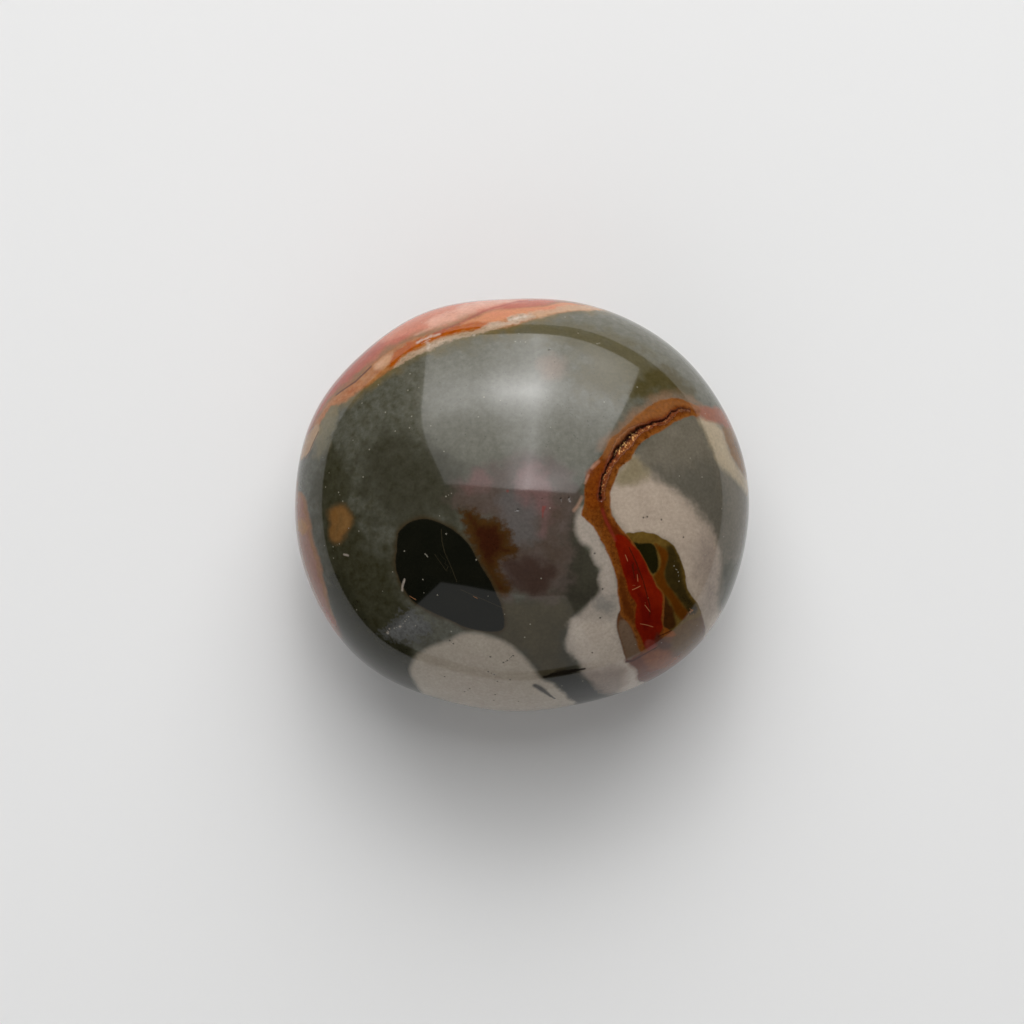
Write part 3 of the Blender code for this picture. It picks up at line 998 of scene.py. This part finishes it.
# The vein is a rust orange seam that swings down from the right rim, turns at the elbow
# and opens into a blood red body. It is the newest filling, so it lies over all the rest.
zone("vein_rust", (
    (28.6, 16), (26, 16.8), (23.6, 17), (21.6, 16.4), (19.6, 15.4), (17.6, 14), (15.4, 12.2),
    (13.4, 10.4), (11.8, 8.6), (10.6, 6.8), (12.4, 7), (15, 10), (19, 13), (24, 15),
))
paint("vein_rust", (120, 96, 76), (128, 100, 78), drifts, soft=1.8, ragged=0.4, strength=0.7)
zone("orange_vein", (
    (28.2, 14.9), (26.2, 15.4), (24.5, 15.9), (23, 15.8), (21.5, 15.3), (20, 14.6), (18.5, 13.7),
    (17, 12.4), (15.7, 11.3), (14.5, 10.2), (13, 8.9), (11.9, 7.5), (11, 6.2), (10.3, 5.1),
    (9.6, 4.3), (9, 3.5), (8.6, 2.4), (8.5, 1.3), (8.6, 0.3), (8.4, -0.8), (8.1, -1.5),
    (7.95, -2.1), (8.8, -2.9), (9.7, -3.5), (10.3, -4.6), (10.8, -5.7), (11.5, -6.7), (12.1, -7.8),
    (12.7, -9.2), (13.2, -10.8), (13.5, -12.4), (13.7, -13.9), (14.1, -15.4), (14.3, -16.4),
    (15, -17.4), (16, -18.8), (17, -20.6), (17.7, -22), (18.6, -23.4), (20, -23.8), (21.2, -23),
    (21.6, -21.4), (23.4, -21.4), (23.9, -20.9), (22.6, -19.9), (21.6, -19), (21.2, -17),
    (21, -14.8), (20.4, -13.5), (19.5, -12.5), (18.9, -11.2), (18.1, -10), (17.4, -8.9),
    (16.6, -7.5), (16, -6.7), (15.3, -5.9), (14.5, -4.9), (13.9, -4.2), (13.3, -3.6), (12.7, -2.6),
    (12.3, -1.7), (12.1, -0.5), (12, 0.6), (12.25, 1.5), (12.6, 2.4), (13.1, 3.4), (13.6, 4.4),
    (14.8, 5.3), (15.5, 6.3), (16.3, 7.5), (17.3, 8.5), (18.4, 9.2), (20, 9.9), (21.4, 10.8),
    (22.9, 11.9), (24.5, 12.6), (26.2, 13.3), (27.8, 13.5),
))
paint("orange_vein", (132, 80, 34), (112, 62, 22), crumbs, soft=0.35, ragged=0.12)
paint(
    "orange_vein", (92, 44, 10), (120, 66, 22), crumbs,
    soft=0.7, ragged=0.25, inset=0.45, torn=crumbs,
)
paint(
    "orange_vein", (58, 24, 6), (80, 36, 8), patches,
    soft=0.6, ragged=1.3, inset=1.2, strength=0.45, torn=crumbs,
)
zone("amber_back", (
    (28, 14.8), (26, 15.3), (24, 15.6), (22, 15.3), (20, 14.4), (18, 13.1), (16, 11.4), (14, 9.6),
    (12.4, 8), (11.2, 6.2), (12, 5.8), (13.2, 7.6), (14.8, 9.2), (16.6, 10.8), (18.4, 11.6),
    (20.4, 12.2), (22, 13.4), (23.6, 14.6), (26, 14.7),
))
paint("amber_back", (146, 98, 60), (136, 90, 50), crumbs, soft=0.9, ragged=0.2)
zone("bright_elbow", (
    (9, 3.3), (9.7, 4.3), (10.6, 5), (11.3, 4.4), (11, 3), (10.6, 1.6), (10.6, -0.2), (10, -1.2),
    (9, -1), (8.8, 0.4), (8.7, 1.8),
))
paint("bright_elbow", (116, 52, 8), (104, 44, 5), crumbs, soft=0.9, ragged=0.3)
paint("orange_vein", (64, 28, 5), (152, 84, 24), grain, soft=0.4, inset=0.1, strength=0.34)
zone("brown_seam", (
    (10.8, -0.2), (11.5, -1.8), (12.6, -3.4), (13.6, -4.6), (15, -6), (14.2, -6.1), (12.9, -5.2),
    (11.9, -4), (11.1, -2.6),
))
paint("brown_seam", (94, 38, 8), (84, 30, 6), patches, soft=0.6, ragged=0.2)
zone("dark_selvage", (
    (13.5, -11), (14, -13.2), (14.6, -15.2), (15.6, -17), (16.6, -18.4), (16.2, -16.6),
    (15.4, -15), (14.9, -13.4), (14.2, -11),
))
paint("dark_selvage", (78, 34, 6), (90, 44, 10), patches, soft=0.7, ragged=0.2)
zone("red_body", (
    (12.8, -5), (13.5, -4.9), (14.3, -5.3), (15.1, -6.1), (16, -6.8), (16.6, -7.5), (17.4, -8.9),
    (18, -10), (18.8, -11.2), (19.4, -12.6), (20.3, -13.6), (20.7, -14.8), (20.8, -16.7),
    (20.9, -18), (21.7, -19.4), (21.2, -20.6), (21.2, -22.2), (20.4, -23.4), (19.6, -23.2),
    (18.4, -21.4), (17.4, -19.8), (16.6, -18.3), (16.5, -16.4), (16.5, -15.1), (15.7, -14),
    (15, -12.8), (14.6, -11.3), (14.2, -9.8), (13.7, -8.4), (13.2, -7),
))
paint("red_body", (118, 25, 4), (98, 13, 2), drifts, soft=0.35)
zone("red_heart", (
    (14.4, -7.6), (15.2, -8), (16, -9.6), (16.6, -11.4), (17.2, -13), (18.4, -14.6), (18.8, -16.6),
    (19, -18.6), (18.4, -19.4), (17.6, -17.6), (17.4, -15.6), (16.4, -13.6), (15.4, -11.4),
    (14.7, -9.4),
))
paint("red_heart", (86, 9, 2), (98, 13, 3), patches, soft=0.9, ragged=0.3, strength=0.7)
zone("toe_rose", (
    (19.2, -21.6), (20.2, -21.8), (21.2, -22.2), (20.6, -23.4), (19.6, -23.2),
))
paint("toe_rose", (126, 60, 50), (112, 46, 36), drifts, soft=0.7, ragged=0.15)
zone("toe_slate", (
    (20.5, -20.3), (21.3, -20.6), (22, -21.6), (23.3, -22.5), (24.3, -23.4), (23.4, -23.9),
    (21.9, -23.4), (21, -22.4),
))
paint("toe_slate", (62, 32, 22), (80, 46, 32), drifts, soft=0.7, ragged=0.15, strength=0.6)
zone("toe_ember", (
    (21.5, -19.2), (22.6, -19.9), (23.8, -20.6), (24.4, -21.3), (23.6, -21.6), (22.5, -21.1),
    (21.8, -20.4),
))
paint("toe_ember", (136, 78, 24), (116, 58, 16), patches, soft=0.5, ragged=0.2)


# Fine lines and flecks: a red thread in the pink, pale healed cracks in the black pool and
# the red body, specks of quartz all over the green, and pits in the green and pinholes in the
# cream painted dark with the shade that lies in them.
draw("red_threads", (
    (0.30, (-13.6, 26.35), (-9.7, 28.2), (-8, 29.7), (-5.9, 31.8), (-3.4, 33.2), (-1.3, 34.9),
        (2.8, 36.6)),
    (0.14, (3.2, -1), (2.9, -1.6)), (0.16, (-1.8, 1.1)), (0.08, (2.9, -0.8), (2.9, -2.4)),
    (0.2, (12.9, -5.6), (12.1, -4), (11.4, -2.6), (11, -1.4)),
), (132, 44, 36), strength=0.5, blur=0.8)
draw("umber_lines", (
    (0.23, (-27.1, 19.4), (-25.4, 20.9), (-24.4, 21.9)),
    (0.14, (-33.8, 11.8), (-35.9, 8.7), (-38, 7.35)), (0.15, (-36, 13.3), (-39.5, 12.1)),
    (0.20, (-31, 18.1), (-29, 18.8), (-27.1, 19.5)),
    (0.12, (20.9, -21), (22.2, -20.6), (23.4, -20.2)),
    (0.24, (16.4, -25.2), (17.4, -25.2), (18.6, -24.5)),
    (0.14, (18.6, -24.5), (19.9, -23.8), (21.2, -23.1)),
    (0.09, (14.9, -6.6), (16.1, -8.9), (17.2, -11.4)),
    (0.09, (17.3, -11.6), (18, -13.6), (18.7, -15.4), (18.9, -17)),
    (0.08, (15.4, -9), (16, -11.2)),
), (58, 20, 8), strength=0.8)
draw("dark_wedge", (
    (0.42, (2, -29.1), (2.6, -29.6)), (0.48, (2.6, -29.6), (3.4, -30.5)),
    (0.36, (3.4, -30.5), (4, -31.3)), (0.26, (4, -31.3), (4.8, -32.4)),
    (0.15, (4.8, -32.4), (5.5, -33.2)), (0.22, (3.4, -27.2), (4.6, -26.9)),
    (0.42, (4.6, -26.8), (5.6, -26.6)), (0.58, (5.6, -26.5), (7, -26.4)),
    (0.40, (7, -26.3), (8.2, -26.1)), (0.2, (8.2, -26.1), (9.6, -25.9)),
), (18, 12, 7), strength=0.9)
draw("healed_cracks", (
    (0.06, (-10.9, -3.9), (-10.8, -5.8), (-10.5, -7.2), (-9.9, -8.6), (-9.35, -10),
        (-8.85, -11.5)),
    (0.04, (-12, -7.4), (-11.2, -8.6), (-10.2, -10)),
    (0.05, (-8.6, -12.4), (-5, -14), (-1.5, -15.6), (2, -17)), (0.05, (-17.5, 9.6), (-18.4, 10)),
    (0.06, (-9.84, 12.7), (-8.8, 13.6), (-7.1, 14.2)),
), (86, 76, 54), strength=0.22)
draw("quartz_lines", (
    (0.07, (15.7, -12.8), (16.3, -12.6), (16.9, -12.3)),
    (0.06, (17.5, -18.3), (18.6, -18.6), (19.8, -19.1)), (0.06, (16.3, -10.6), (16.5, -11.7)),
    (0.06, (17.9, -15.3), (18.9, -16.5)), (0.06, (18.3, -14.2)),
    (0.06, (14.4, -7.7), (14.8, -8.6)), (0.06, (-16.1, -13.7), (-15, -14.3)),
    (0.05, (-6.7, -13.4), (-6, -13.8)), (0.09, (26.4, -17.6), (27, -17.1)), (0.08, (26.2, -16.8)),
    (0.08, (27.2, -17.9)), (0.07, (25.8, -17.4)), (0.09, (26.6, -17.1)),
), (190, 130, 88), strength=0.45)
draw("quartz_marks", (
    (0.13, (-16.6, -11.3), (-17, -12.2), (-17.1, -13)), (0.14, (-26.9, -8.1), (-26.1, -8.2)),
    (0.26, (-16.3, 24.9)), (0.28, (-15.7, 25.3)), (0.26, (-15, 25.4)), (0.3, (-14.2, 25.8)),
    (0.26, (-13.5, 25.8)), (0.24, (-12.9, 26)), (0.24, (-14.6, 24.5)), (0.2, (-14.2, 24)),
    (0.26, (-1.9, 28.6)), (0.3, (-1.1, 28.9)), (0.3, (-0.3, 29.2)), (0.24, (0.5, 29.4)),
    (0.2, (-14.3, 23.3)), (0.2, (-7.3, 25.2)), (0.18, (-20.6, -20.2)), (0.12, (-20.1, -19.4)),
    (0.14, (-18.2, -18.8)),
), (190, 176, 162), strength=0.6, blur=0.8)
draw("pale_marks", (
    (0.3, (-17, 26.9), (-15.8, 27.3), (-14.4, 27.9)), (0.2, (10.5, 5.2), (9.6, 4.3)),
    (0.14, (9.1, 3.3), (8.6, 2.2)), (0.2, (8.2, 0.3), (7.6, -0.9), (7.1, -1.5)),
), (188, 146, 122), strength=0.45, blur=0.9)
BOLD_SPECKS = 58
HOLE_SHADE = 0.13
rng = np.random.default_rng(11)
specks = [
    (-29.25, -8.8), (-29.1, -7), (-27.7, -6.5), (-23.8, -4.5), (-30.5, 2.25), (-27.6, 1.3),
    (-23, 3.4), (-19.9, 12.9), (-15.6, 11.9), (-15.8, 10.2), (-18, 9.85), (-22.1, 7.4),
    (-16.6, 18.9), (-21.9, 17.8), (-16.6, 16.1), (-24.4, 15), (-25.8, -16.9), (6.8, 29.6),
    (11.3, 23.9), (11.8, 24.1), (8.55, 25.8), (16.9, 16.7), (-10.2, 0.4), (1.2, -17.6),
    (0.4, -19.7), (2.7, -10.8), (-5.2, 14.3), (-5.9, 11.4), (11.6, 23.9), (-1, 23.7), (0.5, 23.6),
    (-16.8, 30.3), (-13, -7.9), (-11.8, -13.4), (-6.1, -8.2), (-10.2, -4.7), (-13.8, -11.2),
    (-16.4, -7.2), (22.2, -9), (22.2, -9.6), (23, -10.6), (23.3, -12), (27, 3.6), (31.2, -1.1),
    (32, -5.5), (28, -8.2), (6.3, -29.5), (9.6, -28.7), (-10.2, -19), (-20.5, -20.2), (-18, -18.7),
    (-16.5, -17), (-19.2, -19.2), (-17.2, -17.8), (-15.6, -18.4),
]
specks += [tuple(spot) for spot in rng.uniform(-36, 36, (70, 2)) if math.hypot(*spot) < 38]
draw("specks", tuple(
    (0.10 if index < BOLD_SPECKS else float(rng.uniform(0.06, 0.09)), spot)
    for index, spot in enumerate(specks)
), (170, 164, 148), strength=0.55)
# The pits are painted dark with the shade that lies in them.
shaded_pits = [
    (4.07, 22.3), (6.44, 18.51), (-5.8, 15.88), (-2.23, 17.1), (-0.37, 19.23), (-0.91, 17.41),
    (0.65, 16.29), (-2.7, 20.64), (0.07, 8.06), (3.3, 15.06), (2.32, 13.53),
]
shaded_pits += [tuple(spot) for spot in rng.normal((2, 14), (9, 6), (90, 2))]
draw("shaded_pits", tuple(
    (float(rng.uniform(0.05, 0.09)), spot) for spot in shaded_pits
), (44, 42, 32), strength=0.55)
# The pinholes are painted dark with the shade that lies in their bowls.
draw("pinholes", tuple((HOLE_SHADE, hole) for hole in PINHOLES), (40, 34, 28), strength=0.75)


# The open crack is painted dark with the shade that lies in it, and the crystals that line it
# are pale, with painted glints on their brightest facets. Its broken skin takes no polish, and
# iron stains the crystals, so they shine in their own colour.
POLISH_ROUGHNESS = 0.06
BROKEN_ROUGHNESS = 0.6
STAINED_SHINE = 0.85
GRAIN_SHARE = 0.13


def crack_marks_and_painted_light(name, values):
    """Keeps a share for each corner of the skin, and gives it to the material."""
    keep_number(name, values)
    mask = nodes.new("ShaderNodeAttribute")
    mask.attribute_name = name
    return mask.outputs["Fac"]


def cover(mask, colour, strength=1.0):
    """Covers the coats painted so far, where the mask is set."""
    share = nodes.new("ShaderNodeMath")
    share.operation = "MULTIPLY"
    share.use_clamp = True
    share.inputs[1].default_value = strength
    links.new(mask, share.inputs[0])
    laid = nodes.new("ShaderNodeMix")
    laid.data_type = "RGBA"
    laid.inputs["B"].default_value = tone(*colour)
    links.new(share.outputs[0], laid.inputs["Factor"])
    links.new(coats[-1], laid.inputs["A"])
    coats.append(laid.outputs["Result"])


cover(crack_marks_and_painted_light("crack_flush", flush), (104, 36, 12), 0.8)
cover(crack_marks_and_painted_light("druse", crust), (148, 92, 44), 0.85)
# Painted shade: the open groove is darkened.
cover(crack_marks_and_painted_light("crack", groove_shade), (40, 15, 4), 1.0)
# Painted highlight: glints on the brightest crystal facets.
cover(crack_marks_and_painted_light("painted_glints", glint_highlight), (240, 190, 122), 0.95)

# A fine grain runs through every zone.
grained = nodes.new("ShaderNodeMix")
grained.data_type = "RGBA"
grained.blend_type = "OVERLAY"
grained.inputs["Factor"].default_value = GRAIN_SHARE
links.new(coats[-1], grained.inputs["A"])
links.new(grain, grained.inputs["B"])
links.new(grained.outputs["Result"], polish.inputs["Base Color"])

broken = crack_marks_and_painted_light("crumbled", crumbled)
rough = nodes.new("ShaderNodeMapRange")
rough.inputs["To Min"].default_value = POLISH_ROUGHNESS
rough.inputs["To Max"].default_value = BROKEN_ROUGHNESS
links.new(broken, rough.inputs["Value"])
links.new(rough.outputs[0], polish.inputs["Roughness"])
stained = nodes.new("ShaderNodeMath")
stained.operation = "MULTIPLY"
stained.inputs[1].default_value = STAINED_SHINE
links.new(broken, stained.inputs[0])
links.new(stained.outputs[0], polish.inputs["Metallic"])


# The floor is a plain sheet of pale paper on a round table, wide enough to fill the view.
TABLE_RADIUS = 0.42
PAPER_WHITE = (0.84, 0.84, 0.837, 1.0)
PAPER_ROUGHNESS = 0.9

table_form = bmesh.new()
bmesh.ops.create_circle(table_form, cap_ends=True, segments=128, radius=TABLE_RADIUS)
table_mesh = bpy.data.meshes.new("floor")
table_form.to_mesh(table_mesh)
table_form.free()
table = bpy.data.objects.new("floor", table_mesh)
bpy.context.scene.collection.objects.link(table)
paper = bpy.data.materials.new("pale_paper")
paper.use_nodes = True
paper_shader = paper.node_tree.nodes["Principled BSDF"]
paper_shader.inputs["Base Color"].default_value = PAPER_WHITE
paper_shader.inputs["Roughness"].default_value = PAPER_ROUGHNESS
table.data.materials.append(paper)


# Two large softboxes light the stone. The main one is high behind it, and its face is
# uneven, so the veil that it lays on the crown has a bright middle and a soft streak. The
# other is in front, dimmer and wider. Sizes and places go by the distance of each.
KEY_DISTANCE = 0.9
KEY_WIDTH = 1.225 * KEY_DISTANCE
KEY_HEIGHT = 1.742 * KEY_DISTANCE
KEY_SLIDE = 0.503
KEY_TURN = math.radians(-6.2)
KEY_SHARES = (("key", 0.80), ("key_sheen", 0.32))
KEY_BASE = 1.3
KEY_GLOWS = (
    (0.5, 0.36, 50.0, 0.46, 0, 2.2),
    (0.54, 0.05, 0.17, 50.0, 9.5, 3.0),
    (0.26, 0.93, 0.50, 0.27, 0, 3.2),
    (0.80, 0.46, 0.34, 0.13, 0, 1.9),
    (0.22, 0.14, 0.45, 0.42, 0, 2.0),
    (0.512, 0.375, 0.22, 0.20, 0, 5.5),
    (0.54, 0.395, 0.80, 0.18, 0, 1.8),
)
FILL_DISTANCE = 0.6
FILL_WIDTH = 1.22 * FILL_DISTANCE
FILL_HEIGHT = 1.452 * FILL_DISTANCE
FILL_RISE = 0.849
FILL_RADIANCE = 0.43


def softbox(name, centre, outward, upward, width, height, radiance, turn=0.0):
    """A rectangular light that faces the stone from outward of it and isn't seen itself."""
    lamp = bpy.data.lights.new(name, "AREA")
    lamp.shape = "RECTANGLE"
    lamp.size = width
    lamp.size_y = height
    lamp.energy = radiance * width * height * math.pi
    holder = bpy.data.objects.new(name, lamp)
    back = Vector(outward).normalized()
    up = Vector(upward)
    up = (up - up.dot(back) * back).normalized()
    up.rotate(Quaternion(back, turn))
    across = up.cross(back)
    holder.matrix_world = Matrix((
        (across.x, up.x, back.x, centre[0]),
        (across.y, up.y, back.y, centre[1]),
        (across.z, up.z, back.z, centre[2]),
        (0, 0, 0, 1),
    ))
    holder.visible_camera = False
    bpy.context.scene.collection.objects.link(holder)
    return holder


def glow(lamp, glows, base):
    """Makes a lamp brighter round some spots of its face.

    Each is its place across and along the face, its width and height as shares of the face,
    its lean in degrees and its strength.
    """
    lamp.use_nodes = True
    face_nodes = lamp.node_tree.nodes
    face_links = lamp.node_tree.links
    place = face_nodes.new("ShaderNodeNewGeometry")
    total = None
    for across, along, wide, high, lean, strength in glows:
        spot = face_nodes.new("ShaderNodeMapping")
        spot.vector_type = "TEXTURE"
        spot.inputs["Location"].default_value = (across, along, 0)
        spot.inputs["Rotation"].default_value = (0, 0, math.radians(lean))
        spot.inputs["Scale"].default_value = (wide, high, 1)
        face_links.new(place.outputs["Parametric"], spot.inputs["Vector"])
        falloff = face_nodes.new("ShaderNodeTexGradient")
        falloff.gradient_type = "QUADRATIC_SPHERE"
        face_links.new(spot.outputs[0], falloff.inputs["Vector"])
        added = face_nodes.new("ShaderNodeMath")
        added.operation = "MULTIPLY_ADD"
        added.inputs[1].default_value = strength
        added.inputs[2].default_value = base
        face_links.new(falloff.outputs["Fac"], added.inputs[0])
        if total:
            face_links.new(total, added.inputs[2])
        total = added.outputs[0]
    face_links.new(total, face_nodes["Emission"].inputs["Strength"])


key_normal = Vector((0, 0.882, 0.458))
key_down = Vector((0, 0.458, -0.882))
key_centre = Vector(stone_origin) + KEY_DISTANCE * (key_normal - KEY_SLIDE * key_down)
for name, share in KEY_SHARES:
    key = softbox(
        name, key_centre, key_normal, -key_down, KEY_WIDTH, KEY_HEIGHT, share, KEY_TURN
    )
    glow(key.data, KEY_GLOWS, KEY_BASE)
# The second half of the main light is seen in the polish alone and adds no light.
key.visible_diffuse = False

fill_normal = Vector((-0.201, -0.98, 0))
fill_centre = Vector(stone_origin) + FILL_DISTANCE * (fill_normal + Vector((0, 0, FILL_RISE)))
softbox("fill", fill_centre, fill_normal, (0, 0, 1), FILL_WIDTH, FILL_HEIGHT, FILL_RADIANCE)


# The room round the table is pale where the camera sees it, dim in its own light and
# nearly black in the polish, as a studio with its lamps turned off would be.
ROOM_LIGHT = (0.25, 0.25, 0.25, 1)
ROOM_IN_POLISH = (0.012, 0.012, 0.012, 1)
ROOM_SEEN = (0.72, 0.72, 0.715, 1)

world = bpy.context.scene.world or bpy.data.worlds.new("studio")
bpy.context.scene.world = world
world.use_nodes = True
room = world.node_tree.nodes
wall = room["Background"]
seen = room.new("ShaderNodeLightPath")
mirrored = room.new("ShaderNodeMix")
mirrored.data_type = "RGBA"
mirrored.inputs["A"].default_value = ROOM_LIGHT
mirrored.inputs["B"].default_value = ROOM_IN_POLISH
world.node_tree.links.new(seen.outputs["Is Glossy Ray"], mirrored.inputs["Factor"])
shown = room.new("ShaderNodeMix")
shown.data_type = "RGBA"
shown.inputs["B"].default_value = ROOM_SEEN
world.node_tree.links.new(seen.outputs["Is Camera Ray"], shown.inputs["Factor"])
world.node_tree.links.new(mirrored.outputs["Result"], shown.inputs["A"])
world.node_tree.links.new(shown.outputs["Result"], wall.inputs["Color"])


# The camera looks almost straight down on the stone, a little from the front.
CAMERA_DISTANCE = 0.780
CAMERA_ELEVATION = math.radians(85)
CAMERA_LENS = 200.8
CAMERA_SLIDE = (-0.001459, -0.000776)

camera_data = bpy.data.cameras.new("camera")
camera_data.lens = CAMERA_LENS
camera_data.sensor_width = 36
camera_data.clip_end = 20
camera = bpy.data.objects.new("camera", camera_data)
back = Vector((0, -math.cos(CAMERA_ELEVATION), math.sin(CAMERA_ELEVATION)))
up = Vector((0, math.sin(CAMERA_ELEVATION), math.cos(CAMERA_ELEVATION)))
right = Vector((1, 0, 0))
camera.location = Vector(stone_origin) + CAMERA_DISTANCE * back
camera.location += CAMERA_SLIDE[0] * right + CAMERA_SLIDE[1] * up
camera.rotation_euler = back.to_track_quat("Z", "Y").to_euler()
bpy.context.scene.collection.objects.link(camera)
bpy.context.scene.camera = camera
bpy.context.scene.view_settings.view_transform = "Standard"
